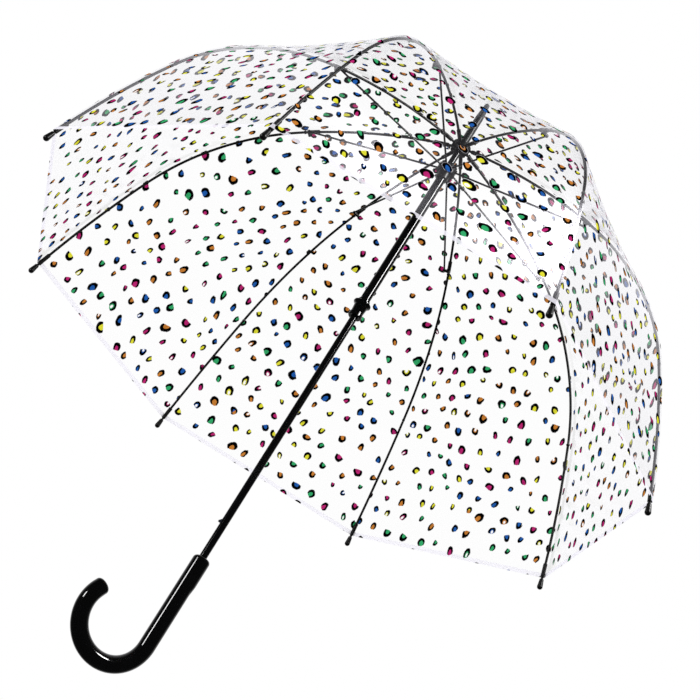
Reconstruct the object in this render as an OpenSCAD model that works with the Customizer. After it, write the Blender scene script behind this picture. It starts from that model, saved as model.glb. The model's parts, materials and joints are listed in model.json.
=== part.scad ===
// Straight stick umbrella with a deep clear dome, a crook handle and a long sliding runner.
// Millimetres, +Z along the shaft towards the spike, crook along -X, one rib along +X.
// The origin is on the shaft axis, in the middle of the handle's straight part.

/* [Shaft] */
// Outside diameter of the shaft tube
shaft_d = 9; // [7.5:0.1:11]
// Wall of the shaft tube
shaft_wall = 0.8; // [0.5:0.1:1]
// Diameter of the cross pin that stops the runner
stop_pin_d = 1.6; // [1.2:0.1:2]

/* [Handle] */
// Diameter of the crook handle
handle_d = 19.3; // [16:0.1:26]
// Length of the handle's straight part
handle_straight = 115; // [90:1:150]
// Radius of the crook at the middle of the tube
crook_r = 42.6; // [34:0.1:55]
// Angle that the crook turns through
crook_sweep = 204; // [170:1:225]
// Rounding of the handle's two ends
handle_edge = 4; // [2:0.5:6]
// Depth of the shaft in the handle
socket_depth = 75; // [40:1:95]
// Length of the raised thumb pad
pad_len = 33; // [20:1:40]
// Length of the slope at the thumb pad's lower end
pad_slope = 13; // [6:1:20]
// Height of the raised thumb pad
pad_rise = 1.3; // [0.6:0.1:2]

/* [Crown] */
// Distance of the rib pivots from the shaft
hub_gap = 4.5; // [3.5:0.1:7]
// Width of the slotted crown outside the rib pivots
crown_rim = 4; // [2.5:0.1:8]
// Thickness of the crown above its slots
crown_roof = 1.1; // [0.6:0.1:3]
// Depth of the crown below the rib pivots
crown_below = 5; // [4:0.1:8]
// Diameter of the ring wires that the ribs and stretchers turn on
wire_d = 1.2; // [1:0.1:1.4]
// Diameter of the cap that holds the film down on the crown
cap_d = 24; // [20:0.5:30]
// Thickness of that cap
cap_h = 3.5; // [2:0.1:5]
// Wall of the spike round the shaft
spike_wall = 1; // [0.6:0.1:2.5]
// Length of the spike's straight part
spike_straight = 51; // [30:1:60]
// Length of the spike's taper
spike_taper = 24; // [15:1:35]
// Diameter of the spike's round end
spike_end_d = 7; // [5:0.1:9]
// Depth of the shaft in the spike
spike_socket = 18; // [10:1:25]

/* [Ribs] */
// Diameter of a rib rod
rib_d = 3.4; // [2.6:0.1:3.6]
// Angle below the horizontal at which a rib leaves the crown
rib_launch = 5.7; // [0:0.1:15]
// Length of a rib from the crown to its first bend point
inner_len = 206; // [170:0.1:250]
// Angle that this length bends through
inner_turn = 20; // [10:0.1:30]
// Length of a rib between its two bend points
middle_len = 230; // [190:1:280]
// Angle that this length bends through
middle_turn = 42.6; // [30:0.1:50]
// Length of a rib from its last bend point to its end
outer_len = 201; // [160:1:240]
// Angle that this length bends through
outer_turn = 8.9; // [5:0.1:20]
// Diameter of the pin at a bend point
bend_pin_d = 1; // [0.8:0.1:1.2]
// Thickness of the tongue at a bend point
tongue_t = 0.9; // [0.7:0.1:1.1]
// Wall of the sleeves near the two ends of a rib
end_sleeve_wall = 1; // [0.3:0.05:1.5]
// Length of the sleeve near the tip
end_sleeve_len = 18; // [10:1:30]
// Length of the sleeve near the crown
root_sleeve_len = 20; // [10:1:40]
// Distance of that sleeve from the crown
root_sleeve_gap = 4; // [2:0.5:12]

/* [Tips] */
// Wall of the tip's neck round the rib
tip_wall = 1; // [0.6:0.1:1.6]
// Distance that the tip's round end stands out past its neck
tip_flare = 1; // [0:0.1:2]
// Length of the tip
tip_len = 14; // [10:0.5:20]
// Length of the tip past the end of the rib
tip_solid = 4; // [2:0.5:8]

/* [Stretchers] */
// Diameter of a stretcher rod
stretcher_d = 2.6; // [1.6:0.1:3]
// Distance of the rib bracket's pivot below the rib
bracket_drop = 4; // [3.6:0.1:6]
// Distance of that pivot from the rib's first bend point
bracket_back = 6; // [5:0.1:10]
// Wall of the bracket round the rib
bracket_wall = 1; // [0.3:0.1:1.5]
// Length of the bracket along the rib
bracket_len = 20; // [14:1:30]
// Width of the boss between a stretcher's rod and its bracket
boss_w = 1.3; // [1:0.1:3]
// Distance of the bracket's pivot from the shaft when shut
shut_pivot_gap = 8.5; // [7.5:0.1:15]

/* [Runner] */
// Height of the rib pivots above the stretcher pivots when open
runner_drop = 42.6; // [30:0.1:60]
// Distance of the stretcher pivots from the shaft
runner_hub_gap = 5; // [4:0.1:8]
// Width of the runner's slotted head outside the stretcher pivots
head_rim = 3.5; // [2.5:0.1:8]
// Height of the head above the stretcher pivots
head_above = 5.5; // [4:0.1:8]
// Depth of the head below the stretcher pivots
head_below = 5; // [4:0.1:8]
// Length of the collar under the head
collar_len = 12; // [8:1:20]
// Wall of that collar round the sleeve
collar_wall = 1.85; // [1:0.05:4]
// Wall of the runner's sleeve
sleeve_wall = 1.77; // [1:0.01:3]
// Length of the runner from the stretcher pivots to its lower end
runner_len = 262; // [200:1:320]
// Gap between the shut runner and the handle
shut_gap = 15; // [2:0.5:80]
// Height of the grip's lower ring
grip_ring_h = 6; // [3:0.5:10]
// Wall of the grip's lower ring round the sleeve
grip_ring_wall = 2.45; // [2:0.05:5]
// Wall of the grip's waist and collar round the sleeve
grip_waist_wall = 1.45; // [1.2:0.05:3]
// Length of the cone under the grip's wide flange
grip_cone_len = 14; // [6:0.5:25]
// Distance that the wide flange stands out from the sleeve
grip_flange_wall = 5.15; // [3.5:0.05:9]
// Length of the grip's collar above the flange
grip_collar_len = 5; // [2:0.5:10]

/* [Catches] */
// Distance that a catch stands out of the shaft
catch_reach = 3; // [2:0.1:3.5]
// Width of a catch
catch_w = 2; // [1.5:0.1:2.6]
// Length of a catch's nose along the shaft
catch_nose = 7; // [5:0.1:9]
// Length of the leaf from its rivet to the top of the nose
leaf_len = 32; // [24:1:40]
// Thickness of the leaf
leaf_t = 0.7; // [0.5:0.1:0.9]
// Distance of the runner's window from its grip
window_gap = 1.3; // [0.5:0.1:20]

/* [Canopy] */
// Thickness of the clear film
film_t = 0.2; // [0.1:0.05:0.5]
// Distance of the film's hem from the tips
hem_gap = 3; // [1:0.5:15]
// Gap between the film and the shaft
film_hole_gap = 0.8; // [0.3:0.1:3]

/* [Hidden] */
rib_count = 8;
$fn = 48;
arc_fn = 360; // facets of a full turn on the long rib arcs
fit = 0.02; // gap where a piece is pushed onto another
pin_fit = 0.05; // gap between a pin or wire and its hole
runner_fit = 0.08; // gap between the runner and the shaft
side_fit = 0.1; // gap beside a tongue and round a rib in its tip
clear = 0.3; // gap between pieces that move past each other
slot_clear = 0.6; // gap at the ends of a catch's windows

shaft_r = shaft_d / 2;
bore_r = shaft_r - shaft_wall;
sleeve_d = shaft_d + 2 * (runner_fit + sleeve_wall);
collar_d = sleeve_d + 2 * collar_wall;
spike_d = shaft_d + 2 * spike_wall;
hub_r = shaft_r + hub_gap;
crown_d = 2 * (hub_r + crown_rim);
runner_hub_r = shaft_r + runner_hub_gap;
head_d = 2 * (runner_hub_r + head_rim);
shut_pivot_r = shaft_r + shut_pivot_gap;
rib_r = rib_d / 2;
end_sleeve_d = rib_d + 2 * end_sleeve_wall;
root_sleeve_start = crown_rim + root_sleeve_gap;
tip_neck_d = rib_d + 2 * tip_wall;
tip_d = tip_neck_d + 2 * tip_flare;
tip_socket = tip_len - tip_solid;
hem_back = tip_len + hem_gap;
grip_edge = 1; // chamfers of the grip
grip_flange_z = grip_ring_h + grip_edge + grip_cone_len;
grip_len = grip_flange_z + 2 * grip_edge + grip_collar_len;
cap_lip = 1; // width of the cap's top outside the spike
handle_top = handle_straight / 2;
crook_end_d = handle_d - 0.2; // plug that closes the end of the crook
crook_end_seat = 2; // depth of that plug in the crook
rib_eye_r = 2.6; // outer radius of the eye at the crown
rib_eye_w = 2.4; // width of that eye
stretcher_eye_r = 2.2; // outer radius of a stretcher's eyes
stretcher_eye_w = 1.8; // width of its eye on the runner
eye_bend = 0.1; // extra room in an eye for the curve of the ring wire
fork_gap = tongue_t + 2 * side_fit;
shoulder = rib_r + 0.5; // start of the rod past a bend pin
knuckle_r = rib_r + 0.2; // rounded end of a fork
tongue_r = rib_r - side_fit;
bracket_r = rib_r + bracket_wall;
lug_w = 2 * bracket_r;
stretcher_side = bracket_r + clear + boss_w + stretcher_d / 2;
crown_above = rib_eye_r + clear + crown_roof;
rivet_r = 1.5; // rivet head on a stretcher's outer end
rivet_h = 0.6;

// A rib is three arcs in one upright plane. Points are [radius, height above the rib pivots]
// and angles count downwards from the horizontal.
function arc_r(len, turn) = len * 180 / (PI * turn);
function arc_point(start, angle, len, turn, s) =
    start + arc_r(len, turn) * [
        sin(angle + turn * s / len) - sin(angle),
        cos(angle + turn * s / len) - cos(angle)
    ];

first_bend = arc_point([hub_r, 0], rib_launch, inner_len, inner_turn, inner_len);
first_angle = rib_launch + inner_turn;
last_bend = arc_point(first_bend, first_angle, middle_len, middle_turn, middle_len);
last_angle = first_angle + middle_turn;
rib_len = inner_len + middle_len + outer_len;

function rib_angle(s) =
    s < inner_len ? rib_launch + inner_turn * s / inner_len :
    s < inner_len + middle_len ? first_angle + middle_turn * (s - inner_len) / middle_len :
    last_angle + outer_turn * (s - inner_len - middle_len) / outer_len;
function rib_point(s) =
    s < inner_len ? arc_point([hub_r, 0], rib_launch, inner_len, inner_turn, s) :
    s < inner_len + middle_len ?
        arc_point(first_bend, first_angle, middle_len, middle_turn, s - inner_len) :
    arc_point(last_bend, last_angle, outer_len, outer_turn, s - inner_len - middle_len);

// Pivots of a stretcher when open, and the runner's travel to where it shuts.
bracket_pivot = first_bend
    - bracket_back * [cos(first_angle), -sin(first_angle)]
    - bracket_drop * [sin(first_angle), cos(first_angle)];
runner_pivot = [runner_hub_r, -runner_drop];
pivot_arm = norm(bracket_pivot - [hub_r, 0]);
stretcher_len = norm(bracket_pivot - runner_pivot);
shut_depth = sqrt(pow(pivot_arm, 2) - pow(shut_pivot_r - hub_r, 2))
    + sqrt(pow(stretcher_len, 2) - pow(shut_pivot_r - runner_hub_r, 2));
travel = shut_depth - runner_drop;

// Heights, set by the shut runner's place above the handle.
crown_height = handle_top + shut_gap + runner_len + runner_drop + travel;
crown_top = crown_height + crown_above;
cap_base = crown_top + clear + film_t + clear;
spike_base = cap_base + cap_h;
runner_z = crown_height - runner_drop;
runner_end = runner_z - runner_len;
stop_z = runner_z + head_above + clear + stop_pin_d / 2;
window_len = 2 * catch_nose + 2 * clear;
top_catch_z = runner_end + grip_len + window_gap + slot_clear + window_len;
bottom_catch_z = top_catch_z - window_len - travel;
film_lift = (max(end_sleeve_d / 2, bracket_r) + clear) / cos(180 / rib_count);
film_rest = 1.5; // width of the flat film outside the crown
film_start = crown_rim + 21; // place on the rib where the film starts to follow it
film_step = 18; // spacing of the points along the film

PER_RIB = ["inner", "middle", "outer", "tip"];

// Turns a piece drawn for the rib along +X to rib k.
module at_rib(k) {
    rotate([0, 0, (k - 1) * 360 / rib_count]) children();
}

// Moves a piece to distance s along an arc that starts at the origin along +X and bends down.
module along_arc(len, turn, s) {
    r = arc_r(len, turn);
    angle = turn * s / len;
    translate([r * sin(angle), 0, r * cos(angle) - r])
        rotate([0, angle, 0])
            children();
}

module at_first_bend() {
    translate([first_bend[0], 0, crown_height + first_bend[1]])
        rotate([0, first_angle, 0])
            children();
}

module at_last_bend() {
    translate([last_bend[0], 0, crown_height + last_bend[1]])
        rotate([0, last_angle, 0])
            children();
}

// Round rod along part of an arc that starts at the origin along +X and bends down.
module arc_rod(len, turn, from, to) {
    r = arc_r(len, turn);
    translate([0, 0, -r])
        rotate([90, 0, 0])
            rotate([0, 0, 90 - turn * to / len])
                rotate_extrude(angle = turn * (to - from) / len, $fn = arc_fn)
                    translate([r, 0])
                        circle(r = rib_r, $fn = 32);
}

// Disc whose axis lies across the rib.
module cross_disc(r, w) {
    rotate([90, 0, 0]) cylinder(r = r, h = w, center = true);
}

// Round rod between two points, from a distance past the first one.
module rod_between(a, b, d, gap) {
    v = b - a;
    translate(a)
        rotate([0, acos(v[2] / norm(v)), atan2(v[1], v[0])])
            translate([0, 0, gap])
                cylinder(d = d, h = norm(v) - gap);
}

// Fork at the end of a rod, with its pin at the origin. The rod comes along +X.
module fork_cut() {
    translate([-shoulder, -fork_gap / 2, -rib_d])
        cube([2 * shoulder, fork_gap, 2 * rib_d]);
}

module fork_pin() {
    cross_disc(bend_pin_d / 2, rib_d - 4 * side_fit);
}

// Tongue at the start of a rod, round its pin at the origin. The rod goes along +X.
module tongue() {
    difference() {
        union() {
            cross_disc(tongue_r, tongue_t);
            translate([0, -tongue_t / 2, side_fit - tongue_r])
                cube([shoulder + rib_r, tongue_t, 2 * (tongue_r - side_fit)]);
        }
        cross_disc(bend_pin_d / 2 + pin_fit, rib_d);
    }
}

// Round bar along +Z whose far end has a rounded edge.
module round_bar(d, h, edge) {
    r = d / 2;
    rotate_extrude()
        polygon(concat(
            [[0, 0], [r, 0]],
            [for (a = [0:15:90]) [r - edge + edge * cos(a), h - edge + edge * sin(a)]],
            [[0, h]]
        ));
}

module shaft() {
    bottom = handle_top - socket_depth;
    color("black")
        difference() {
            translate([0, 0, bottom])
                cylinder(r = shaft_r, h = spike_base + spike_socket - bottom - clear);
            translate([0, 0, bottom - 1])
                cylinder(r = bore_r, h = spike_base + spike_socket - bottom + 2);
            translate([0, 0, stop_z])
                cross_disc(stop_pin_d / 2 + fit, 2 * shaft_d);
            catch_window(top_catch_z - catch_nose, top_catch_z, clear / 2);
            catch_window(bottom_catch_z, bottom_catch_z + catch_nose, clear / 2);
        }
}

module handle() {
    color("black")
        difference() {
            union() {
                translate([0, 0, -handle_straight / 2])
                    round_bar(handle_d, handle_straight, handle_edge);
                translate([-crook_r, 0, -handle_straight / 2])
                    rotate([-90, 0, 0])
                        rotate_extrude(angle = crook_sweep, $fn = arc_fn)
                            translate([crook_r, 0])
                                circle(d = handle_d);
                translate([-crook_r, 0, -handle_straight / 2])
                    rotate([0, crook_sweep, 0])
                        translate([crook_r, 0, crook_end_seat])
                            rotate([180, 0, 0])
                                round_bar(crook_end_d, crook_end_seat + 2 * handle_edge, handle_edge);
                thumb_pad();
            }
            translate([0, 0, handle_top - socket_depth - clear])
                cylinder(r = shaft_r + fit, h = socket_depth + 1);
        }
}

// Thumb pad: a second bar beside the handle's own, with a long slope at its lower end. The slope
// starts as far inside the handle as the pad stands out of it.
module thumb_pad() {
    translate([pad_rise, 0, handle_top - pad_len]) {
        round_bar(handle_d, pad_len, handle_edge);
        translate([0, 0, -2 * pad_slope])
            cylinder(d1 = handle_d - 4 * pad_rise, d2 = handle_d, h = 2 * pad_slope);
    }
}

module spike() {
    color("black")
        translate([0, 0, spike_base])
            difference() {
                union() {
                    cylinder(d = spike_d, h = spike_straight);
                    translate([0, 0, spike_straight])
                        cylinder(d1 = spike_d, d2 = spike_end_d, h = spike_taper);
                    translate([0, 0, spike_straight + spike_taper])
                        sphere(d = spike_end_d);
                }
                translate([0, 0, -1])
                    cylinder(r = shaft_r + fit, h = spike_socket + 1);
            }
}

module crown_cap() {
    color("black")
        translate([0, 0, cap_base])
            difference() {
                cylinder(d1 = cap_d, d2 = spike_d + 2 * cap_lip, h = cap_h);
                translate([0, 0, -1])
                    cylinder(r = shaft_r + fit, h = cap_h + 2);
            }
}

module wire_ring(r, d) {
    rotate_extrude()
        translate([r, 0])
            circle(d = d, $fn = 24);
}

module crown() {
    slot_w = rib_d + 2 * clear;
    slot_in = hub_r - rib_eye_r - clear;
    color("black")
        translate([0, 0, crown_height])
            difference() {
                translate([0, 0, -crown_below])
                    cylinder(d = crown_d, h = crown_below + crown_above);
                translate([0, 0, -crown_below - 1])
                    cylinder(r = shaft_r + fit, h = crown_below + crown_above + 2);
                wire_ring(hub_r, wire_d + 2 * pin_fit);
                for (k = [1:rib_count])
                    at_rib(k)
                        translate([slot_in, -slot_w / 2, -crown_below - 1])
                            cube([crown_d, slot_w, crown_below + 1 + rib_eye_r + clear]);
            }
}

module crown_wire() {
    color("silver")
        translate([0, 0, crown_height])
            wire_ring(hub_r, wire_d);
}

module stop_pin() {
    color("silver")
        translate([0, 0, stop_z])
            cross_disc(stop_pin_d / 2, sleeve_d);
}

// Half section of the film: flat under the cap, then a fixed lift above the ribs to the hem.
function film_line(lift) = [
    [shaft_r + film_hole_gap, crown_above + clear + lift - film_lift],
    [crown_d / 2 + film_rest, crown_above + clear + lift - film_lift],
    for (s = [film_start:film_step:rib_len - hem_back - film_step / 2])
        rib_point(s) + lift * [sin(rib_angle(s)), cos(rib_angle(s))],
    let (s = rib_len - hem_back)
        rib_point(s) + lift * [sin(rib_angle(s)), cos(rib_angle(s))]
];

module canopy() {
    inside = film_line(film_lift);
    outside = film_line(film_lift + film_t);
    count = len(inside);
    color([0.85, 0.85, 0.9, 0.35])
        translate([0, 0, crown_height])
            rotate_extrude($fn = rib_count)
                polygon(concat(inside, [for (i = [count - 1:-1:0]) outside[i]]));
}

module runner_head() {
    slot_w = max(stretcher_eye_w, stretcher_d) + 3 * clear;
    slot_in = runner_hub_r - stretcher_eye_r - clear;
    slot_down = stretcher_eye_r + clear;
    color("black")
        translate([0, 0, runner_z])
            difference() {
                union() {
                    translate([0, 0, -head_below])
                        cylinder(d = head_d, h = head_below + head_above);
                    translate([0, 0, -head_below - collar_len])
                        cylinder(d = collar_d, h = collar_len);
                }
                translate([0, 0, -head_below - collar_len - 1])
                    cylinder(d = sleeve_d + 2 * fit, h = collar_len + 1);
                translate([0, 0, -head_below - 1])
                    cylinder(r = shaft_r + runner_fit, h = head_below + head_above + 2);
                wire_ring(runner_hub_r, wire_d + 2 * pin_fit);
                for (k = [1:rib_count])
                    at_rib(k)
                        translate([slot_in, -slot_w / 2, -slot_down])
                            cube([head_d, slot_w, slot_down + head_above + 1]);
            }
}

module runner_wire() {
    color("silver")
        translate([0, 0, runner_z])
            wire_ring(runner_hub_r, wire_d);
}

module runner_sleeve() {
    length = runner_len - head_below;
    color("black")
        difference() {
            translate([0, 0, runner_end])
                cylinder(d = sleeve_d, h = length);
            translate([0, 0, runner_end - 1])
                cylinder(r = shaft_r + runner_fit, h = length + 2);
            catch_window(top_catch_z - window_len, top_catch_z, clear);
        }
}

module runner_grip() {
    sleeve_r = sleeve_d / 2;
    r_in = sleeve_r + fit;
    waist_r = sleeve_r + grip_waist_wall;
    ring_r = sleeve_r + grip_ring_wall;
    flange_r = sleeve_r + grip_flange_wall;
    edge = grip_edge;
    color("black")
        translate([0, 0, runner_end])
            rotate_extrude()
                polygon([
                    [r_in, 0],
                    [ring_r - edge, 0],
                    [ring_r, edge],
                    [ring_r, grip_ring_h - edge],
                    [ring_r - edge, grip_ring_h],
                    [waist_r, grip_ring_h + edge],
                    [ring_r, grip_flange_z - 3 * edge],
                    [flange_r - edge, grip_flange_z - edge],
                    [flange_r, grip_flange_z],
                    [flange_r, grip_flange_z + edge],
                    [flange_r - edge, grip_flange_z + 2 * edge],
                    [waist_r, grip_flange_z + 2 * edge],
                    [waist_r, grip_len - edge],
                    [waist_r - edge, grip_len],
                    [r_in, grip_len]
                ]);
}

// Cut for a catch's nose on the -X side, between two heights and with a gap beside it.
module catch_window(low, high, gap) {
    reach = 2 * sleeve_d;
    w = catch_w + 2 * gap;
    translate([-reach, -w / 2, low - slot_clear])
        cube([reach, w, high - low + 2 * slot_clear]);
}

// Leaf spring with its rivet at the foot and a nose that stands out of the shaft on the -X side.
// The nose is flat where it holds the runner, at height z, and slopes off above it where
// way is 1 and below it where way is -1.
module catch_leaf(z, way) {
    nose_r = shaft_r + catch_reach;
    nose_flat = 2;
    leaf_r = bore_r - clear;
    foot_r = 1.1;
    slope_end = z + way * catch_nose;
    foot_z = max(z, slope_end) - leaf_len;
    color("silver") {
        rotate([90, 0, 0])
            translate([0, 0, -catch_w / 2])
                linear_extrude(catch_w)
                    polygon([
                        [-leaf_r + leaf_t, z],
                        [-nose_r, z],
                        [-nose_r, z + way * nose_flat],
                        [-leaf_r, slope_end],
                        [-leaf_r + leaf_t, slope_end]
                    ]);
        translate([-leaf_r, -catch_w / 2, foot_z])
            cube([leaf_t, catch_w, min(z, slope_end) - foot_z + leaf_t]);
        translate([-leaf_r + foot_r, 0, foot_z])
            cross_disc(foot_r, catch_w);
    }
}

module top_catch() {
    catch_leaf(top_catch_z, -1);
}

module bottom_catch() {
    catch_leaf(bottom_catch_z, 1);
}

module rib_inner(k) {
    color("black")
        at_rib(k)
            difference() {
                union() {
                    translate([hub_r, 0, crown_height])
                        rotate([0, rib_launch, 0]) {
                            cross_disc(rib_eye_r, rib_eye_w);
                            along_arc(inner_len, inner_turn, root_sleeve_start)
                                rotate([0, 90, 0])
                                    cylinder(d = end_sleeve_d, h = root_sleeve_len);
                            difference() {
                                arc_rod(inner_len, inner_turn, rib_r, inner_len);
                                along_arc(inner_len, inner_turn, inner_len) fork_cut();
                            }
                        }
                    at_first_bend() {
                        difference() {
                            cross_disc(knuckle_r, rib_d - 2 * side_fit);
                            fork_cut();
                        }
                        fork_pin();
                        translate([-bracket_len, 0, 0])
                            rotate([0, 90, 0])
                                cylinder(r = bracket_r, h = bracket_len - shoulder - 1);
                        translate([-bracket_back, 0, -bracket_drop])
                            cross_disc(stretcher_eye_r, lug_w);
                        translate([-bracket_back - stretcher_eye_r, -lug_w / 2, -bracket_drop])
                            cube([2 * stretcher_eye_r, lug_w, bracket_drop]);
                    }
                }
                translate([hub_r, 0, crown_height])
                    cross_disc(wire_d / 2 + eye_bend + pin_fit, rib_d);
            }
}

module rib_middle(k) {
    color("black")
        at_rib(k) {
            at_first_bend() {
                tongue();
                difference() {
                    arc_rod(middle_len, middle_turn, shoulder, middle_len);
                    along_arc(middle_len, middle_turn, middle_len) fork_cut();
                }
            }
            at_last_bend() {
                difference() {
                    cross_disc(knuckle_r, rib_d - 2 * side_fit);
                    fork_cut();
                }
                fork_pin();
            }
        }
}

module rib_outer(k) {
    color("black")
        at_rib(k)
            at_last_bend() {
                tongue();
                arc_rod(outer_len, outer_turn, shoulder, outer_len - tip_len + tip_socket - clear);
                along_arc(outer_len, outer_turn, outer_len - hem_back - end_sleeve_len)
                    rotate([0, 90, 0])
                        cylinder(d = end_sleeve_d, h = end_sleeve_len);
            }
}

module rib_tip(k) {
    color("black")
        at_rib(k)
            at_last_bend()
                along_arc(outer_len, outer_turn, outer_len)
                    rotate([0, -90, 0])
                        difference() {
                            union() {
                                translate([0, 0, tip_d / 2])
                                    sphere(d = tip_d);
                                translate([0, 0, tip_d / 2])
                                    cylinder(d1 = tip_d, d2 = tip_neck_d, h = tip_len - tip_d / 2);
                            }
                            translate([0, 0, tip_len - tip_socket])
                                cylinder(r = rib_r + side_fit, h = tip_socket + 1);
                        }
}

module stretcher(k) {
    inner_end = [runner_pivot[0], 0, crown_height + runner_pivot[1]];
    outer_end = [bracket_pivot[0], stretcher_side, crown_height + bracket_pivot[1]];
    boss_in = lug_w / 2 + clear;
    boss_out = stretcher_side + stretcher_d / 2;
    color("black")
        at_rib(k)
            difference() {
                union() {
                    translate(inner_end)
                        cross_disc(stretcher_eye_r, stretcher_eye_w);
                    rod_between(inner_end, outer_end, stretcher_d, stretcher_d / 2);
                    translate([outer_end[0], (boss_in + boss_out) / 2, outer_end[2]])
                        cross_disc(stretcher_eye_r, boss_out - boss_in);
                    translate([outer_end[0], boss_out + rivet_h / 2, outer_end[2]])
                        cross_disc(rivet_r, rivet_h);
                }
                translate(inner_end)
                    cross_disc(wire_d / 2 + eye_bend + pin_fit, 2 * stretcher_eye_w);
            }
}

shaft();
handle();
spike();
crown_cap();
crown();
crown_wire();
stop_pin();
canopy();
runner_head();
runner_wire();
runner_sleeve();
runner_grip();
top_catch();
bottom_catch();
for (k = [1:rib_count]) {
    rib_inner(k);
    rib_middle(k);
    rib_outer(k);
    rib_tip(k);
    stretcher(k);
}
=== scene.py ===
"""Clear dome umbrella with a crook handle: finishes, printed film canopy and studio."""

import json
import math

import bpy
from mathutils import Matrix, Vector

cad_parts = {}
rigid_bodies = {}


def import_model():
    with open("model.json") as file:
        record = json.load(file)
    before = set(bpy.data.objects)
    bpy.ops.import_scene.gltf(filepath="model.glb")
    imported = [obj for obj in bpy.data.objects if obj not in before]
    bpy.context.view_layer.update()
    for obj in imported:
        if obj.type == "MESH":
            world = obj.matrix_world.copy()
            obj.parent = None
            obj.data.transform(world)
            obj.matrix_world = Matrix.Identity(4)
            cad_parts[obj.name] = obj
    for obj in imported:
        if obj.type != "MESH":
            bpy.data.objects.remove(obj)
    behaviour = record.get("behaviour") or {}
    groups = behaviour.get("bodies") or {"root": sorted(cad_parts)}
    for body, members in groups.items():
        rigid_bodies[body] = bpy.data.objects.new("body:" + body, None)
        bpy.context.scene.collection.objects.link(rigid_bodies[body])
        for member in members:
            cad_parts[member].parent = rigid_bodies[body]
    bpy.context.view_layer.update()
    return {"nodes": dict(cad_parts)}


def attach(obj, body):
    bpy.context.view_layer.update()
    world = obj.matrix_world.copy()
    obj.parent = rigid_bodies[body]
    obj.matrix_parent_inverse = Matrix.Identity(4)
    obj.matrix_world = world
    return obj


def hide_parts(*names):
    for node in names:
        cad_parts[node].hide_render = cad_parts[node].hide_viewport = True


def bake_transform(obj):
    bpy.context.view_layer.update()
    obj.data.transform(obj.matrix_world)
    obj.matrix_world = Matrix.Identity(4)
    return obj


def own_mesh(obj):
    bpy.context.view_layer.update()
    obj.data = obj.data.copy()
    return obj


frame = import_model()


# Shaft. A drawn steel tube that runs through the whole umbrella, lacquered black before assembly,
# with the cross pin that stops the runner driven through it.

MM = 0.001


def srgb(code):
    """Linear colour of an sRGB hex code."""
    parts = [int(code[i:i + 2], 16) / 255 for i in (1, 3, 5)]
    return [c / 12.92 if c <= 0.04045 else ((c + 0.055) / 1.055) ** 2.4 for c in parts] + [1.0]


def add(tree, kind, inputs=None, **settings):
    """Adds one node. Settings are its own fields; inputs are sockets, nodes or plain values."""
    made = tree.nodes.new(kind)
    for field, value in settings.items():
        setattr(made, field, value)
    for socket, value in (inputs or {}).items():
        if isinstance(value, bpy.types.Node):
            value = value.outputs[0]
        if isinstance(value, bpy.types.NodeSocket):
            tree.links.new(value, made.inputs[socket])
        else:
            made.inputs[socket].default_value = value
    return made


def new_material(name):
    """An empty material and its node tree."""
    made = bpy.data.materials.new(name)
    made.use_nodes = True
    made.node_tree.nodes.clear()
    return made, made.node_tree


def grained_skin(tree, grain, tones, roughness, surface, relief=None):
    """A surface whose colour and gloss follow one grain, and so does its relief where it has any."""
    dark, light = tones
    tint = add(tree, "ShaderNodeMix", {0: grain, 6: srgb(dark), 7: srgb(light)}, data_type="RGBA")
    smoothest, roughest = roughness
    gloss = add(tree, "ShaderNodeMapRange", {"Value": grain, "To Min": smoothest, "To Max": roughest})
    inputs = {"Base Color": tint.outputs[2], "Roughness": gloss, **surface}
    if relief:
        strength, depth = relief
        inputs["Normal"] = add(tree, "ShaderNodeBump", {
            "Height": grain, "Strength": strength, "Distance": depth})
    skin = add(tree, "ShaderNodeBsdfPrincipled", inputs)
    add(tree, "ShaderNodeOutputMaterial", {"Surface": skin})


def coat(material, *names):
    """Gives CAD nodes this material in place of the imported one."""
    for name in names:
        slots = frame["nodes"][name].data.materials
        slots.clear()
        slots.append(material)


# Stoved lacquer on drawn tube: near black and fairly glossy, with faint lines along the tube.
DRAW_LINE = 0.6 * MM  # spacing of the drawing lines, drawn coarser than real so that they show
LINE_STRETCH = 0.02  # how fast the lines change along the tube, against across it
stoved_lacquer, tree = new_material("black_stoved_lacquer_on_steel")
place = add(tree, "ShaderNodeTexCoord")
along = add(tree, "ShaderNodeMapping", {"Vector": place.outputs["Object"], "Scale": (1, 1, LINE_STRETCH)})
lines = add(tree, "ShaderNodeTexNoise", {"Vector": along, "Scale": 1 / DRAW_LINE, "Detail": 2.0})
grained_skin(tree, lines, tones=("#020203", "#060607"), roughness=(0.08, 0.14),
             surface={"IOR": 1.5, "Specular IOR Level": 0.25}, relief=(0.05, 0.01 * MM))
coat(stoved_lacquer, "shaft", "stop_pin")


# Crook handle. One ABS moulding pushed onto the shaft, polished in the mould to a deep gloss, with a
# thumb pad standing out of its straight part. Handling leaves it a little smeared.

# Polished ABS: deep black with sharp highlights, which the smears soften here and there.
SMEAR = 14 * MM  # size of the soft patches where the gloss varies
gloss_abs, tree = new_material("polished_black_abs")
place = add(tree, "ShaderNodeTexCoord")
smears = add(tree, "ShaderNodeTexNoise", {
    "Vector": place.outputs["Object"], "Scale": 1 / SMEAR, "Detail": 4.0})
grained_skin(tree, smears, tones=("#010101", "#040405"), roughness=(0.05, 0.09),
             surface={"IOR": 1.53, "Specular IOR Level": 0.35}, relief=(0.03, 0.05 * MM))
coat(gloss_abs, "handle")


# Crown, cap and spike. Three nylon mouldings at the top of the shaft: the slotted crown that the ribs
# turn in, the cap that holds the film down on it, and the spike pushed over the end of the shaft.

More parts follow.
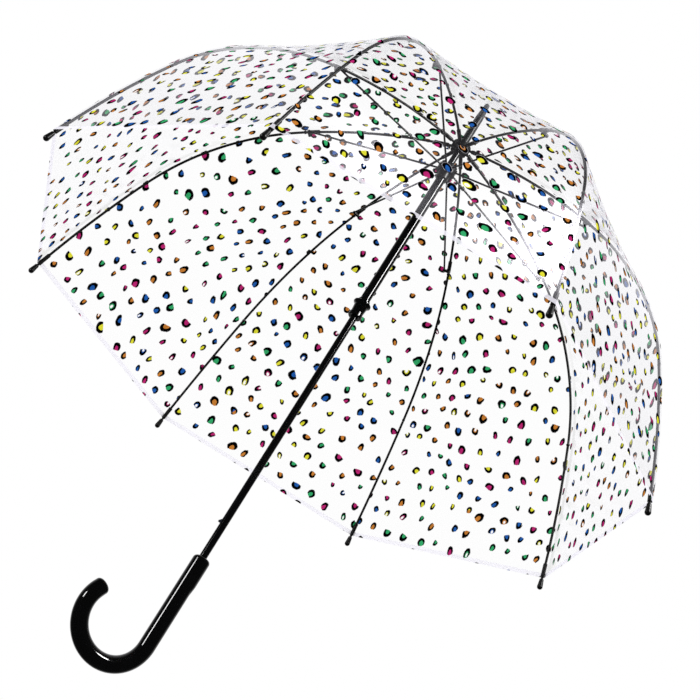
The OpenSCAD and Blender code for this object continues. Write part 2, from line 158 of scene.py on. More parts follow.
# Moulded nylon: black with a broad, dull sheen, broken by the fine grain of the mould.
MOULD_GRAIN = 0.35 * MM  # grain of the mould's eroded faces
black_nylon, tree = new_material("moulded_black_nylon")
place = add(tree, "ShaderNodeTexCoord")
grain = add(tree, "ShaderNodeTexNoise", {
    "Vector": place.outputs["Object"], "Scale": 1 / MOULD_GRAIN, "Detail": 3.0})
grained_skin(tree, grain, tones=("#020202", "#070708"), roughness=(0.26, 0.44),
             surface={"IOR": 1.53, "Specular IOR Level": 0.3}, relief=(0.12, 0.03 * MM))
coat(black_nylon, "crown", "crown_cap", "spike")


# Ribs. Pultruded glass rods, black all through, that turn on the ring wire in the crown and are
# jointed at two bend points. Nylon caps are pushed onto their ends.

# Pultruded fibreglass: black and half matt, mottled where the glass comes near the surface.
RIB_COUNT = 8
RIBS = range(1, RIB_COUNT + 1)
GLASS_MOTTLE = 0.8 * MM  # spacing of the mottling, drawn coarser than the fibres so that it shows
glass_rod, tree = new_material("black_pultruded_fibreglass")
place = add(tree, "ShaderNodeTexCoord")
mottling = add(tree, "ShaderNodeTexNoise", {
    "Vector": place.outputs["Object"], "Scale": 1 / GLASS_MOTTLE, "Detail": 4.0, "Roughness": 0.6})
grained_skin(tree, mottling, tones=("#020202", "#080809"), roughness=(0.3, 0.5),
             surface={"IOR": 1.52, "Specular IOR Level": 0.25}, relief=(0.1, 0.03 * MM))
coat(glass_rod, *[f"rib_{k}_{link}" for k in RIBS for link in ("inner", "middle", "outer")])
coat(black_nylon, *[f"rib_{k}_tip" for k in RIBS])


# Stretchers. Steel wire with flattened eyes, lacquered with the shaft, turning on the ring wire in
# the runner's head and on the rivets of the rib brackets.

coat(stoved_lacquer, *[f"stretcher_{k}" for k in RIBS])


# Runner. A nylon head with eight slots, a lacquered tube under it and a flanged ABS grip, polished
# like the handle, at the lower end; all one slide on the shaft.

coat(black_nylon, "runner_head")
coat(gloss_abs, "runner_grip")
coat(stoved_lacquer, "runner_sleeve")


# Catches and ring wires. Spring steel, blued dark by its heat treatment: the two leaves that hold the
# runner open and shut, and the wires that the ribs and stretchers turn on.

# Blued spring steel: a dark, cold grey metal, a little patchy in tone and gloss.
BLUEING = 3 * MM  # size of the patches left by the heat
spring_steel, tree = new_material("blued_spring_steel")
place = add(tree, "ShaderNodeTexCoord")
patches = add(tree, "ShaderNodeTexNoise", {
    "Vector": place.outputs["Object"], "Scale": 1 / BLUEING, "Detail": 3.0})
grained_skin(tree, patches, tones=("#17181c", "#2a2c33"), roughness=(0.25, 0.45), surface={"Metallic": 1.0})
coat(spring_steel, "top_catch", "bottom_catch", "crown_wire", "runner_wire")


# Canopy. Eight gores of clear film welded to each other along the ribs, held under the cap at the
# crown and by the caps at the rib ends, and printed with small spots before it was cut.
# Each half gore is laid along one length of a rib, so that it shuts with that length.

HALF_GORE = math.radians(180 / RIB_COUNT)
PIVOT_HEIGHT = 722.975 * MM  # height of the rib pivots at the crown
PIVOT_RADIUS = 9 * MM  # their distance from the shaft's middle
LAUNCH = math.radians(5.7)  # angle below the horizontal at which a rib leaves the crown
LINKS = {"inner": (206 * MM, math.radians(20)), "middle": (230 * MM, math.radians(42.6)),
         "outer": (201 * MM, math.radians(8.9))}  # length and turn of a rib's three arcs
FILM_LIFT = 3.5 * MM  # film above the middle of a rib
HEM = 620 * MM  # hem, measured along a rib
CROWN_EDGE = 14 * MM  # where the film leaves the crown and follows the rib
FILM_SAG = 5 * MM  # hollow of a gore between its ribs
FILM_RIPPLE = 0.7 * MM  # slack ripples in the film
RIPPLE_SIZE = 70 * MM
GRID_STEP = 9 * MM

# Printed clear film. It is all but clear straight on and turns back the studio lights at a glance,
# with a faint cold tint; the inks are matt and solid. Each spot is a brushed colour in a thick black
# mark that is open at one end, and a few have a bare middle. The spots lie in staggered rows that
# drift, as in a hand-drawn animal print.
SPOT_SPACING = 27 * MM
SPOT_FREEDOM = 0.4  # how freely a spot lies in its own place in the row
ROW_DRIFT = 24 * MM  # how far the rows of spots stray
ROW_DRIFT_SIZE = 120 * MM
SMALLEST = 0.78  # a spot has its own size between these two
LARGEST = 1.2
BROADEST = 0.82  # and is made narrower by its own number between these two
SLIMMEST = 1.55
SPOT_TURN = math.radians(42)  # most that a spot leans away from the gore's length
SPOT_LENGTH = 12 * MM
SPOT_WIDTH = 11.2 * MM
CORE_LENGTH = 8.1 * MM
CORE_WIDTH = 5.3 * MM
CORE_SHIFT = 1.9 * MM  # how far the colour lies towards the mark's open end
CORE_PAST = 0.5 * MM  # how far the colour runs out past the mark
MOUTH_NEAR = 2.4 * MM  # where the mark stops on its open side, counted from the spot's middle
MOUTH_FAR = 5 * MM
BARE_SHARE = 0.14  # share of the spots whose middle is left bare
BARE_FROM = 0.66  # edges of a bare middle, as shares of the coloured part
BARE_TO = 0.48
INK_EDGE = 0.06  # softness of the ink's outline, as a share of the spot
BRUSH_STRAY = 2.6 * MM  # how far the brush strays from a spot's outline
BRUSH_SIZE = 8 * MM
SPOT_INKS = ("#dfdc38", "#b8266f", "#34a668", "#2059a8", "#c57c34")
DULLEST_INK = 0.75  # the brush leaves the colour between this dull and this bright
BRIGHTEST_INK = 1.2
MARK_INK = "#020202"
FILM_TINT = "#f3f1fb"
FILM_HAZE = 0.02  # share of the light that the film stops straight on
WELD_HAZE = 0.03
HEM_HAZE = 0.7
GLANCE_POWER = 5.0  # how suddenly the film turns from clear to mirror at a glance
FILM_MIRROR = 0.9  # metallic share, the film's only gloss; it stands for the glare of both faces
FILM_ROUGHNESS = 0.15
INK_ROUGHNESS = 0.6
WELD_WIDTH = 2.5 * MM
HEM_WIDTH = 6 * MM
printed_film, tree = new_material("printed_clear_film")
flat_place = add(tree, "ShaderNodeUVMap", uv_map="flat")
drift = add(tree, "ShaderNodeTexNoise", {
    "Vector": flat_place, "Scale": 1 / ROW_DRIFT_SIZE, "Detail": 0.0}, noise_dimensions="2D")
strayed = add(tree, "ShaderNodeVectorMath", {
    0: drift.outputs["Color"], 1: (ROW_DRIFT, ROW_DRIFT, 0), 2: flat_place}, operation="MULTIPLY_ADD")
# Staggered rows: the plane is slanted so that a square pattern of cells becomes a triangular one.
strayed_parts = add(tree, "ShaderNodeSeparateXYZ", {"Vector": strayed})
slant_x = add(tree, "ShaderNodeMath", {
    0: strayed_parts.outputs["Y"], 1: -1 / math.sqrt(3), 2: strayed_parts.outputs["X"]},
    operation="MULTIPLY_ADD")
slant_y = add(tree, "ShaderNodeMath", {
    0: strayed_parts.outputs["Y"], 1: 2 / math.sqrt(3)}, operation="MULTIPLY")
slanted = add(tree, "ShaderNodeCombineXYZ", {"X": slant_x, "Y": slant_y})
cells = add(tree, "ShaderNodeTexVoronoi", {
    "Vector": slanted, "Scale": 1 / SPOT_SPACING, "Randomness": SPOT_FREEDOM}, voronoi_dimensions="2D")
slant_gap = add(tree, "ShaderNodeVectorMath", {
    0: slanted, 1: cells.outputs["Position"]}, operation="SUBTRACT")
slant_parts = add(tree, "ShaderNodeSeparateXYZ", {"Vector": slant_gap})
gap_x = add(tree, "ShaderNodeMath", {
    0: slant_parts.outputs["Y"], 1: 0.5, 2: slant_parts.outputs["X"]}, operation="MULTIPLY_ADD")
gap_y = add(tree, "ShaderNodeMath", {
    0: slant_parts.outputs["Y"], 1: math.sqrt(3) / 2}, operation="MULTIPLY")
from_centre = add(tree, "ShaderNodeCombineXYZ", {"X": gap_x, "Y": gap_y})
# The brush strays from the outline, and each spot has its own size, lean, open end and slimness.
brush = add(tree, "ShaderNodeTexNoise", {
    "Vector": flat_place, "Scale": 1 / BRUSH_SIZE, "Detail": 2.0}, noise_dimensions="2D")
stray = add(tree, "ShaderNodeVectorMath", {
    0: brush.outputs["Color"], 1: (0.5, 0.5, 0.5)}, operation="SUBTRACT")
brushed = add(tree, "ShaderNodeVectorMath", {
    0: stray, 1: (BRUSH_STRAY, BRUSH_STRAY, 0), 2: from_centre}, operation="MULTIPLY_ADD")
chance = add(tree, "ShaderNodeSeparateColor", {"Color": cells.outputs["Color"]})
spot_size = add(tree, "ShaderNodeMapRange", {
    "Value": chance.outputs["Green"], "To Min": SMALLEST, "To Max": LARGEST})
scaled = add(tree, "ShaderNodeVectorMath", {0: brushed, 1: spot_size}, operation="DIVIDE")
lean = add(tree, "ShaderNodeMapRange", {
    "Value": chance.outputs["Red"], "To Min": math.pi / 2 - SPOT_TURN, "To Max": math.pi / 2 + SPOT_TURN})
upside_down = add(tree, "ShaderNodeMath", {0: chance.outputs["Blue"], 1: 0.5}, operation="GREATER_THAN")
turn = add(tree, "ShaderNodeMath", {0: upside_down, 1: math.pi, 2: lean}, operation="MULTIPLY_ADD")
turned_spot = add(tree, "ShaderNodeVectorRotate", {
    "Vector": scaled, "Angle": turn}, rotation_type="Z_AXIS")
lot = add(tree, "ShaderNodeTexWhiteNoise", {"Vector": cells.outputs["Position"]}, noise_dimensions="2D")
lots = add(tree, "ShaderNodeSeparateColor", {"Color": lot.outputs["Color"]})
slim = add(tree, "ShaderNodeMapRange", {
    "Value": lots.outputs["Green"], "To Min": BROADEST, "To Max": SLIMMEST})
slimming = add(tree, "ShaderNodeCombineXYZ", {"X": 1.0, "Y": slim})
own = add(tree, "ShaderNodeVectorMath", {0: turned_spot, 1: slimming}, operation="MULTIPLY")
own_parts = add(tree, "ShaderNodeSeparateXYZ", {"Vector": own})
# The black mark and the colour are two ovals, each cut off at the spot's open end.
spot_share = add(tree, "ShaderNodeVectorMath", {
    0: own, 1: (2 / SPOT_LENGTH, 2 / SPOT_WIDTH, 0)}, operation="MULTIPLY")
from_core = add(tree, "ShaderNodeVectorMath", {0: own, 1: (CORE_SHIFT, 0, 0)}, operation="SUBTRACT")
core_share = add(tree, "ShaderNodeVectorMath", {
    0: from_core, 1: (2 / CORE_LENGTH, 2 / CORE_WIDTH, 0)}, operation="MULTIPLY")
spot_reach = add(tree, "ShaderNodeVectorMath", {0: spot_share}, operation="LENGTH")
core_reach = add(tree, "ShaderNodeVectorMath", {0: core_share}, operation="LENGTH")
whole_mark = add(tree, "ShaderNodeMapRange", {
    "Value": spot_reach.outputs["Value"], "From Min": 1 + INK_EDGE, "From Max": 1 - INK_EDGE})
whole_core = add(tree, "ShaderNodeMapRange", {
    "Value": core_reach.outputs["Value"], "From Min": 1 + INK_EDGE, "From Max": 1 - INK_EDGE})
mouth = add(tree, "ShaderNodeMapRange", {
    "Value": chance.outputs["Blue"], "To Min": MOUTH_NEAR, "To Max": MOUTH_FAR})
open_end = add(tree, "ShaderNodeMath", {0: own_parts.outputs["X"], 1: mouth}, operation="LESS_THAN")
mark = add(tree, "ShaderNodeMath", {0: whole_mark, 1: open_end}, operation="MULTIPLY")
core_end = add(tree, "ShaderNodeMath", {0: mouth, 1: CORE_PAST}, operation="ADD")
core_stop = add(tree, "ShaderNodeMath", {0: own_parts.outputs["X"], 1: core_end}, operation="LESS_THAN")
core = add(tree, "ShaderNodeMath", {0: whole_core, 1: core_stop}, operation="MULTIPLY")
# Each spot draws one ink by lot; the brush leaves it thinner here and there.
inks = add(tree, "ShaderNodeValToRGB", {"Fac": lot.outputs["Value"]})
inks.color_ramp.interpolation = "CONSTANT"
ramp_stops = inks.color_ramp.elements
for i, code in enumerate(SPOT_INKS):
    ramp_stop = ramp_stops[i] if i < 2 else ramp_stops.new(i / len(SPOT_INKS))
    ramp_stop.position = i / len(SPOT_INKS)
    ramp_stop.color = srgb(code)
brightness = add(tree, "ShaderNodeMapRange", {
    "Value": brush, "To Min": DULLEST_INK, "To Max": BRIGHTEST_INK})
coloured = add(tree, "ShaderNodeVectorMath", {0: inks, "Scale": brightness}, operation="SCALE")
marked = add(tree, "ShaderNodeMix", {0: core, 6: srgb(MARK_INK), 7: coloured}, data_type="RGBA")
brushed_on = add(tree, "ShaderNodeMath", {0: mark, 1: core}, operation="MAXIMUM")
left_bare = add(tree, "ShaderNodeMath", {0: lots.outputs["Blue"], 1: BARE_SHARE}, operation="LESS_THAN")
bare_middle = add(tree, "ShaderNodeMapRange", {
    "Value": core_reach.outputs["Value"], "From Min": BARE_FROM, "From Max": BARE_TO, "To Max": left_bare})
not_bare = add(tree, "ShaderNodeMath", {0: 1.0, 1: bare_middle}, operation="SUBTRACT")
ink = add(tree, "ShaderNodeMath", {0: brushed_on, 1: not_bare}, operation="MULTIPLY")
# The film turns back little light straight on and nearly all of it at a glance; its hem is milky.
seam_place = add(tree, "ShaderNodeAttribute", attribute_name="from_weld")
weld = add(tree, "ShaderNodeMath", {0: seam_place.outputs["Fac"], 1: WELD_WIDTH}, operation="LESS_THAN")
flat_parts = add(tree, "ShaderNodeSeparateXYZ", {"Vector": flat_place})
hem = add(tree, "ShaderNodeMath", {
    0: flat_parts.outputs["Y"], 1: HEM - HEM_WIDTH}, operation="GREATER_THAN")
slope = add(tree, "ShaderNodeLayerWeight", {"Blend": 0.5})
glance = add(tree, "ShaderNodeMath", {0: slope.outputs["Facing"], 1: GLANCE_POWER}, operation="POWER")
pressed = add(tree, "ShaderNodeMapRange", {"Value": weld, "To Min": FILM_HAZE, "To Max": WELD_HAZE})
haze = add(tree, "ShaderNodeMapRange", {"Value": hem, "To Min": pressed, "To Max": HEM_HAZE})
veil = add(tree, "ShaderNodeMath", {0: glance, 1: haze}, operation="ADD", use_clamp=True)
film_tint = add(tree, "ShaderNodeMix", {
    0: ink, 6: srgb(FILM_TINT), 7: marked.outputs[2]}, data_type="RGBA")
solid = add(tree, "ShaderNodeMix", {0: ink, 2: veil, 3: 1.0})
matt = add(tree, "ShaderNodeMath", {0: ink, 1: hem}, operation="MAXIMUM")
mirror = add(tree, "ShaderNodeMapRange", {"Value": matt, "To Min": FILM_MIRROR, "To Max": 0.0})
gloss = add(tree, "ShaderNodeMapRange", {"Value": ink, "To Min": FILM_ROUGHNESS, "To Max": INK_ROUGHNESS})
skin = add(tree, "ShaderNodeBsdfPrincipled", {
    "Base Color": film_tint.outputs[2], "Alpha": solid, "Metallic": mirror, "Roughness": gloss,
    "IOR": 1.5, "Specular IOR Level": 0.0})
add(tree, "ShaderNodeOutputMaterial", {"Surface": skin})

# A half gore along one arc of a rib: a grid whose rows follow the arc and whose columns run straight
# across to the middle of the gore, a little hollow, as film stretched between two ribs is.
half_gore = bpy.data.node_groups.new("half_gore", "GeometryNodeTree")
sockets = {}
for name, kind in (("Centre radius", "Float"), ("Centre height", "Float"), ("Film radius", "Float"),
                   ("First angle", "Float"), ("Last angle", "Float"), ("Half gore", "Float"),
                   ("Side", "Float"), ("Azimuth", "Float"), ("Pattern first", "Float"),
                   ("Pattern last", "Float"), ("Pattern shift", "Float"), ("Hem", "Float"),
                   ("Sag", "Float"), ("Ripple", "Float"), ("Ripple scale", "Float"),
                   ("Rows", "Int"), ("Columns", "Int"), ("Film", "Material")):
    made = half_gore.interface.new_socket(name, in_out="INPUT", socket_type="NodeSocket" + kind)
    sockets[name] = made.identifier
half_gore.interface.new_socket("Geometry", in_out="OUTPUT", socket_type="NodeSocketGeometry")
given = add(half_gore, "NodeGroupInput").outputs
grid = add(half_gore, "GeometryNodeMeshGrid", {
    "Size X": 1.0, "Size Y": 1.0, "Vertices X": given["Rows"], "Vertices Y": given["Columns"]})
grid_place = add(half_gore, "ShaderNodeSeparateXYZ", {0: grid.outputs["UV Map"]})
down = grid_place.outputs["X"]
across = grid_place.outputs["Y"]
angle = add(half_gore, "ShaderNodeMapRange", {
    "Value": down, "To Min": given["First angle"], "To Max": given["Last angle"]})
pattern = add(half_gore, "ShaderNodeMapRange", {
    "Value": down, "To Min": given["Pattern first"], "To Max": given["Pattern last"]})
angle_sin = add(half_gore, "ShaderNodeMath", {0: angle}, operation="SINE")
angle_cos = add(half_gore, "ShaderNodeMath", {0: angle}, operation="COSINE")
gore_sin = add(half_gore, "ShaderNodeMath", {0: given["Half gore"]}, operation="SINE")
gore_cos = add(half_gore, "ShaderNodeMath", {0: given["Half gore"]}, operation="COSINE")
rib_radius = add(half_gore, "ShaderNodeMath", {
    0: angle_sin, 1: given["Film radius"], 2: given["Centre radius"]}, operation="MULTIPLY_ADD")
rib_height = add(half_gore, "ShaderNodeMath", {
    0: angle_cos, 1: given["Film radius"], 2: given["Centre height"]}, operation="MULTIPLY_ADD")
half_width = add(half_gore, "ShaderNodeMath", {0: rib_radius, 1: gore_sin}, operation="MULTIPLY")
from_weld = add(half_gore, "ShaderNodeMath", {0: half_width, 1: across}, operation="MULTIPLY")
# Hollow: nothing at the ribs, at the crown and at the hem, most in the middle of the gore.
to_middle = add(half_gore, "ShaderNodeMath", {0: 1.0, 1: across}, operation="SUBTRACT")
to_middle_2 = add(half_gore, "ShaderNodeMath", {0: to_middle, 1: to_middle}, operation="MULTIPLY")
hollow_across = add(half_gore, "ShaderNodeMath", {0: 1.0, 1: to_middle_2}, operation="SUBTRACT")
share_down = add(half_gore, "ShaderNodeMath", {0: pattern, 1: given["Hem"]}, operation="DIVIDE")
half_turn = add(half_gore, "ShaderNodeMath", {0: share_down, 1: math.pi}, operation="MULTIPLY")
hollow_down = add(half_gore, "ShaderNodeMath", {0: half_turn}, operation="SINE")
hollow_share = add(half_gore, "ShaderNodeMath", {0: hollow_across, 1: hollow_down}, operation="MULTIPLY")
hollow = add(half_gore, "ShaderNodeMath", {0: hollow_share, 1: given["Sag"]}, operation="MULTIPLY")
# Place in the rib's own plane, then turned to the rib.
hollow_out = add(half_gore, "ShaderNodeMath", {0: hollow, 1: angle_sin}, operation="MULTIPLY")
straight_x = add(half_gore, "ShaderNodeMath", {0: from_weld, 1: gore_sin}, operation="MULTIPLY")
hollow_x = add(half_gore, "ShaderNodeMath", {
    0: hollow_out, 1: gore_cos, 2: straight_x}, operation="MULTIPLY_ADD")
film_x = add(half_gore, "ShaderNodeMath", {0: rib_radius, 1: hollow_x}, operation="SUBTRACT")
straight_y = add(half_gore, "ShaderNodeMath", {0: from_weld, 1: gore_cos}, operation="MULTIPLY")
hollow_y = add(half_gore, "ShaderNodeMath", {0: hollow_out, 1: gore_sin}, operation="MULTIPLY")
left_y = add(half_gore, "ShaderNodeMath", {0: straight_y, 1: hollow_y}, operation="SUBTRACT")
film_y = add(half_gore, "ShaderNodeMath", {0: left_y, 1: given["Side"]}, operation="MULTIPLY")
hollow_z = add(half_gore, "ShaderNodeMath", {0: hollow, 1: angle_cos}, operation="MULTIPLY")
film_z = add(half_gore, "ShaderNodeMath", {0: rib_height, 1: hollow_z}, operation="SUBTRACT")
in_plane = add(half_gore, "ShaderNodeCombineXYZ", {"X": film_x, "Y": film_y, "Z": film_z})
turned = add(half_gore, "ShaderNodeVectorRotate", {
    "Vector": in_plane, "Angle": given["Azimuth"]}, rotation_type="Z_AXIS")
laid = add(half_gore, "GeometryNodeSetPosition", {"Geometry": grid.outputs["Mesh"], "Position": turned})
on_right = add(half_gore, "FunctionNodeCompare", {0: given["Side"], 1: 0.0}, operation="LESS_THAN")
outward = add(half_gore, "GeometryNodeFlipFaces", {"Mesh": laid, "Selection": on_right})
# Slack ripples die out at the ribs, where the film is held.
noise = add(half_gore, "ShaderNodeTexNoise", {
    "Vector": add(half_gore, "GeometryNodeInputPosition"), "Scale": given["Ripple scale"], "Detail": 1.0})
swing = add(half_gore, "ShaderNodeMath", {0: noise, 1: 0.5}, operation="SUBTRACT")
swing_held = add(half_gore, "ShaderNodeMath", {0: swing, 1: hollow_share}, operation="MULTIPLY")
ripple = add(half_gore, "ShaderNodeMath", {0: swing_held, 1: given["Ripple"]}, operation="MULTIPLY")
offset = add(half_gore, "ShaderNodeVectorMath", {
    0: add(half_gore, "GeometryNodeInputNormal"), "Scale": ripple}, operation="SCALE")
# The flat cut's own place in metres, across from the gore's middle and down from the crown.
flat_gap = add(half_gore, "ShaderNodeMath", {0: from_weld, 1: half_width}, operation="SUBTRACT")
flat_x = add(half_gore, "ShaderNodeMath", {
    0: flat_gap, 1: given["Side"], 2: given["Pattern shift"]}, operation="MULTIPLY_ADD")
flat = add(half_gore, "ShaderNodeCombineXYZ", {"X": flat_x, "Y": pattern})
mapped = add(half_gore, "GeometryNodeStoreNamedAttribute", {
    "Geometry": outward, "Name": "flat", "Value": flat}, data_type="FLOAT2", domain="CORNER")
rippled = add(half_gore, "GeometryNodeSetPosition", {"Geometry": mapped, "Offset": offset})
welded = add(half_gore, "GeometryNodeStoreNamedAttribute", {
    "Geometry": rippled, "Name": "from_weld", "Value": from_weld}, data_type="FLOAT", domain="POINT")
smooth = add(half_gore, "GeometryNodeSetShadeSmooth", {"Geometry": welded})
realized = add(half_gore, "GeometryNodeRealizeInstances", {"Geometry": smooth})
in_film = add(half_gore, "GeometryNodeSetMaterial", {"Geometry": realized, "Material": given["Film"]})
add(half_gore, "NodeGroupOutput", {"Geometry": in_film})


def as_film():
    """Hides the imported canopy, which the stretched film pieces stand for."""
    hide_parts("canopy")


def rib_normal(angle):
    """Outward direction of a rib's arc, as distance from the shaft and height."""
    return Vector((math.sin(angle), math.cos(angle)))


ROLL_STEP = 0.61  # metres of the printed roll from one gore to the next


def roll_place(k, side):
    """Where the gore on one side of a rib lies on the printed roll; each has its own stretch of it."""
    gore = k if side > 0 else k - 1
    return ROLL_STEP * (gore % RIB_COUNT + 1)


# The lengths of a rib that carry film: link, where the film starts and stops on it, and the share
# of its width that is left when the umbrella is shut and the film lies folded along the rib.
INNER_CUT = 90 * MM  # where the film on the inner link is divided
INNER_END = LINKS["inner"][0]
MIDDLE_END = LINKS["middle"][0]
OUTER_END = HEM - INNER_END - MIDDLE_END  # hem, measured along the outer link
PANELS = (("inner", CROWN_EDGE, INNER_CUT, 0.2), ("inner", INNER_CUT, INNER_END, 0.1),
          ("middle", 0, MIDDLE_END / 2, 0.09), ("middle", MIDDLE_END / 2, MIDDLE_END, 0.09),
          ("outer", 0, OUTER_END, 0.097))
bends = {}
rib_end = Vector((PIVOT_RADIUS, PIVOT_HEIGHT))
rib_angle = LAUNCH
rib_length = 0
for link, (length, turning) in LINKS.items():
    radius = length / turning
    centre = rib_end - radius * rib_normal(rib_angle)
    bends[link] = (centre, radius, rib_angle, rib_length)
    rib_angle += turning
    rib_length += length
    rib_end = centre + radius * rib_normal(rib_angle)

# The film at the crown lies flat under the cap and then falls to the rib in a soft step.
CAP_SEAT = PIVOT_HEIGHT + 4.4 * MM  # height of the film under the cap
FLAT_ROWS = (5.3 * MM, 10 * MM, 13.5 * MM)  # from the hole for the spike out to where the fall begins
FALL_ROWS = (0.2, 0.4, 0.6, 0.8, 1.0)  # shares of the fall
HALF_COLUMNS = 4  # columns on each side of a rib
centre, radius, angle_0, _ = bends["inner"]
edge = centre + (radius + FILM_LIFT) * rib_normal(angle_0 + CROWN_EDGE / radius)
flat_edge = FLAT_ROWS[-1]
crown_rows = [(row_radius, CAP_SEAT) for row_radius in FLAT_ROWS]
crown_rows += [(flat_edge + t * (edge.x - flat_edge), CAP_SEAT + (edge.y - CAP_SEAT) * t * t * (3 - 2 * t))
               for t in FALL_ROWS]
crown_columns = [i / HALF_COLUMNS for i in range(-HALF_COLUMNS, HALF_COLUMNS + 1)]

scene = bpy.context.scene
for k in RIBS:
    azimuth = math.radians(360 / RIB_COUNT * (k - 1))
    to_rib = Matrix.Rotation(azimuth, 3, "Z")
    for number, (link, start, stop, keep) in enumerate(PANELS, 1):
        centre, radius, angle_0, length_0 = bends[link]
        film_radius = radius + FILM_LIFT
        angles = [angle_0 + at / radius for at in (start, stop)]
        for side, side_name in ((1, "left"), (-1, "right")):
            name = f"film_{k}_{number}_{side_name}"
            piece = bpy.data.objects.new(name, bpy.data.meshes.new(name))
            scene.collection.objects.link(piece)
            laying = piece.modifiers.new("half_gore", "NODES")
            laying.node_group = half_gore
            widest = (centre.x + film_radius * math.sin(angles[1])) * math.sin(HALF_GORE)
            for socket, value in {
                    "Centre radius": centre.x, "Centre height": centre.y, "Film radius": film_radius,
                    "First angle": angles[0], "Last angle": angles[1], "Half gore": HALF_GORE,
                    "Side": float(side), "Azimuth": azimuth, "Pattern first": length_0 + start,
                    "Pattern last": length_0 + stop, "Pattern shift": roll_place(k, side), "Hem": HEM,
                    "Sag": FILM_SAG, "Ripple": FILM_RIPPLE, "Ripple scale": 1 / RIPPLE_SIZE,
                    "Rows": round((stop - start) / GRID_STEP) + 1,
                    "Columns": round(widest / GRID_STEP) + 2, "Film": printed_film}.items():
                laying[sockets[socket]] = value
            shape = piece.evaluated_get(bpy.context.evaluated_depsgraph_get())
            piece.data = bpy.data.meshes.new_from_object(shape)
            piece.modifiers.remove(laying)
            piece.data.name = name
            as_film()
            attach(piece, f"rib_{k}_{link}")
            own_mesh(piece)

    # The crown's own piece spans this rib, from the middle of one gore to the middle of the next.
    name = f"film_{k}_crown"
    points = []
    faces = []
    weld_gaps = []
    for row, (row_radius, row_height) in enumerate(crown_rows):
        for column, share in enumerate(crown_columns):
            weld_gap = abs(share) * row_radius * math.sin(HALF_GORE)
            weld_gaps.append(weld_gap)
            points.append(to_rib @ Vector((row_radius - weld_gap * math.sin(HALF_GORE),
                                           math.copysign(weld_gap * math.cos(HALF_GORE), share),
                                           row_height)))
            if row and column:
                at = row * len(crown_columns) + column
                faces.append((at - 1 - len(crown_columns), at - 1, at, at - len(crown_columns)))
    mesh = bpy.data.meshes.new(name)
    mesh.from_pydata(points, [], faces)
    mesh.shade_smooth()
    flat_map = mesh.uv_layers.new(name="flat")
    for face in mesh.polygons:
        side = 1 if face.index % (2 * HALF_COLUMNS) >= HALF_COLUMNS else -1
        for corner in face.loop_indices:
            row, column = divmod(mesh.loops[corner].vertex_index, len(crown_columns))
            row_radius = crown_rows[row][0]
            from_middle = (abs(crown_columns[column]) - 1) * row_radius * math.sin(HALF_GORE)
            flat_map.data[corner].uv = (from_middle * side + roll_place(k, side), row_radius - PIVOT_RADIUS)
    mesh.attributes.new("from_weld", "FLOAT", "POINT").data.foreach_set("value", weld_gaps)
    mesh.materials.append(printed_film)
    piece = bpy.data.objects.new(name, mesh)
    scene.collection.objects.link(piece)
    as_film()
    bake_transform(piece)


# Studio. A pale floor well below the umbrella, which is held in the air, soft light from all round,
# two strip lights for the highlights on the handle and the runner, and three softboxes for the glare
# on the near gore.

# Painted floor: pale and matt, very faintly mottled.
FLOOR_HEIGHT = -1.2
FLOOR_HALF = 9  # half its width, in metres
FLOOR_MOTTLE = 500 * MM  # size of the mottling
floor_mesh = bpy.data.meshes.new("studio_floor")
floor_mesh.from_pydata([(x * FLOOR_HALF, y * FLOOR_HALF, FLOOR_HEIGHT)
                        for x, y in ((-1, -1), (1, -1), (1, 1), (-1, 1))], [], [(0, 1, 2, 3)])
floor = bpy.data.objects.new("studio_floor", floor_mesh)
scene.collection.objects.link(floor)
floor_paint, tree = new_material("pale_studio_floor")
place = add(tree, "ShaderNodeTexCoord")
mottle = add(tree, "ShaderNodeTexNoise", {"Vector": place.outputs["Object"], "Scale": 1 / FLOOR_MOTTLE})
tint = add(tree, "ShaderNodeMix", {0: mottle, 6: srgb("#f0f0f0"), 7: srgb("#f6f6f6")}, data_type="RGBA")
skin = add(tree, "ShaderNodeBsdfPrincipled", {"Base Color": tint.outputs[2], "Roughness": 0.8})
add(tree, "ShaderNodeOutputMaterial", {"Surface": skin})
floor_mesh.materials.append(floor_paint)
floor.visible_glossy = False


def towards(azimuth, elevation):
    """Unit vector at two angles in degrees: round from the X axis, and up from level."""
    level = math.cos(math.radians(elevation))
    return Vector((level * math.cos(math.radians(azimuth)), level * math.sin(math.radians(azimuth)),
                   math.sin(math.radians(elevation))))


# The white wall stands behind the umbrella, and glossy parts mirror it. The side that the camera
# stands on is kept dark for them.
WALL_AZIMUTH = 67.5
WALL_ELEVATION = 28.23
WALL_FADE = (0.3, 0.85)  # cosines of the angle from the wall's middle, from dark to full white
DARK_SIDE = 0.05
AMBIENT = 1.15  # soft light from all round
scene.world = bpy.data.worlds.new("white_studio")
scene.world.use_nodes = True
tree = scene.world.node_tree
tree.nodes.clear()
seen = add(tree, "ShaderNodeLightPath")
direction = add(tree, "ShaderNodeTexCoord")
to_wall = add(tree, "ShaderNodeVectorMath", {
    0: direction.outputs["Generated"], 1: towards(WALL_AZIMUTH, WALL_ELEVATION)}, operation="DOT_PRODUCT")
wall = add(tree, "ShaderNodeMapRange", {
    "Value": to_wall.outputs["Value"], "From Min": WALL_FADE[0], "From Max": WALL_FADE[1],
    "To Min": DARK_SIDE, "To Max": 1.0})
backdrop = add(tree, "ShaderNodeBackground", {"Color": (1, 1, 1, 1), "Strength": 1.0})
ambient = add(tree, "ShaderNodeBackground", {"Color": (1, 1, 1, 1), "Strength": AMBIENT})
reflected = add(tree, "ShaderNodeBackground", {"Color": (1, 1, 1, 1), "Strength": wall})
unseen = add(tree, "ShaderNodeMixShader", {0: seen.outputs["Is Glossy Ray"], 1: ambient, 2: reflected})
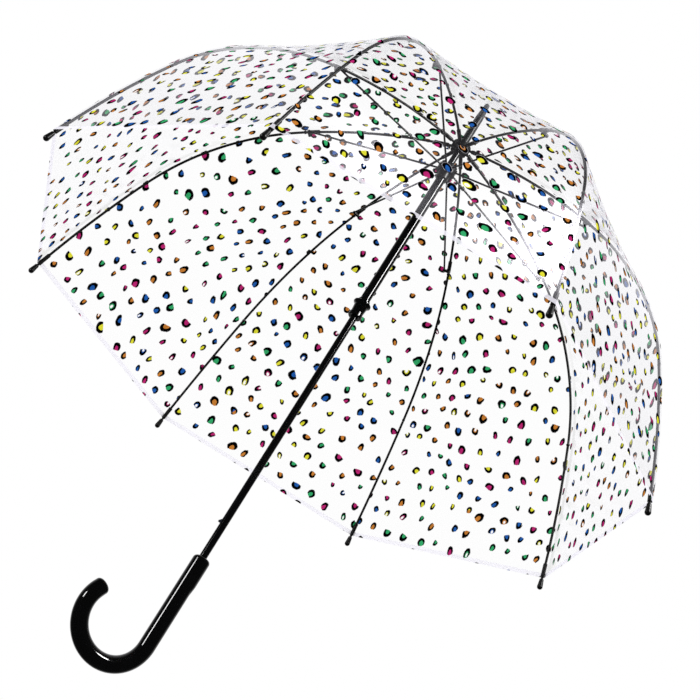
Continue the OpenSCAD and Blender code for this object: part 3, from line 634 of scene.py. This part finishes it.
both = add(tree, "ShaderNodeMixShader", {0: seen.outputs["Is Camera Ray"], 1: unseen, 2: backdrop})
add(tree, "ShaderNodeOutputWorld", {"Surface": both})
scene.view_settings.view_transform = "Standard"

# The strips reach only the frame and the softboxes only the film, so neither muddies the other.
frame_reach = bpy.data.collections.new("frame_reach")
for name, node in frame["nodes"].items():
    if name != "canopy":
        frame_reach.objects.link(node)
film_reach = bpy.data.collections.new("film_reach")
for piece in scene.objects:
    if piece.name.startswith("film_"):
        film_reach.objects.link(piece)


def studio_light(name, aim, azimuth, elevation, distance, width, height, watts, reach):
    """A flat light that faces a point, as upright as that allows, and lights one collection."""
    panel = bpy.data.lights.new(name, "AREA")
    panel.shape = "RECTANGLE"
    panel.size = width
    panel.size_y = height
    panel.energy = watts
    light = bpy.data.objects.new(name, panel)
    away = towards(azimuth, elevation)
    sideways = Vector((0, 0, 1)).cross(away).normalized()
    facing = Matrix((sideways, away.cross(sideways), away)).transposed().to_4x4()
    light.matrix_world = Matrix.Translation(Vector(aim) + distance * away) @ facing
    light.visible_camera = False
    light.visible_diffuse = False
    scene.collection.objects.link(light)
    light.light_linking.receiver_collection = reach


studio_light("runner_strip", aim=(0, 0, 1.62), azimuth=293.99, elevation=0, distance=1.6035,
             width=0.4, height=0.65, watts=60, reach=frame_reach)
studio_light("handle_strip", aim=(0, 0, 0.42), azimuth=187.93, elevation=0, distance=1.5952,
             width=0.3, height=0.3, watts=9, reach=frame_reach)
studio_light("left_softbox", aim=(-0.2, -0.32, 0.38), azimuth=242.02, elevation=63, distance=2,
             width=0.12, height=0.34, watts=4.36, reach=film_reach)
studio_light("right_softbox", aim=(-0.08, -0.37, 0.4), azimuth=255, elevation=62, distance=2,
             width=0.19, height=0.34, watts=5.68, reach=film_reach)
studio_light("rib_softbox", aim=(-0.02, -0.36, 0.45), azimuth=257.99, elevation=66.5, distance=2,
             width=0.05, height=0.5, watts=8.25, reach=film_reach)

# Camera, low and rolled, as in the photograph: below the rim of the dome, looking up into it.
CAMERA_AZIMUTH = 247.498
CAMERA_ELEVATION = -28.234
CAMERA_ROLL = math.radians(-31.898)
CAMERA_DISTANCE = 1.7106
CAMERA_AIM = Vector((0, 0, 0.3755))  # point on the shaft
SLIDE_RIGHT = 0.0150  # how far the camera stands to the side of that point and below it
SLIDE_UP = -0.0081
SENSOR_MM = 36.0
LENS_MM = 72.64
back = towards(CAMERA_AZIMUTH, CAMERA_ELEVATION)
right = towards(CAMERA_AZIMUTH + 90, 0)
up = back.cross(right)
rolled_right = math.cos(CAMERA_ROLL) * right - math.sin(CAMERA_ROLL) * up
rolled_up = math.sin(CAMERA_ROLL) * right + math.cos(CAMERA_ROLL) * up
lens = bpy.data.cameras.new("camera")
lens.sensor_width = SENSOR_MM
lens.lens = LENS_MM
lens.clip_start = 0.05
lens.clip_end = 60
camera = bpy.data.objects.new("camera", lens)
camera.matrix_world = Matrix((rolled_right, rolled_up, back)).transposed().to_4x4()
camera.location = CAMERA_AIM + SLIDE_RIGHT * rolled_right + SLIDE_UP * rolled_up + CAMERA_DISTANCE * back
scene.collection.objects.link(camera)
scene.camera = camera
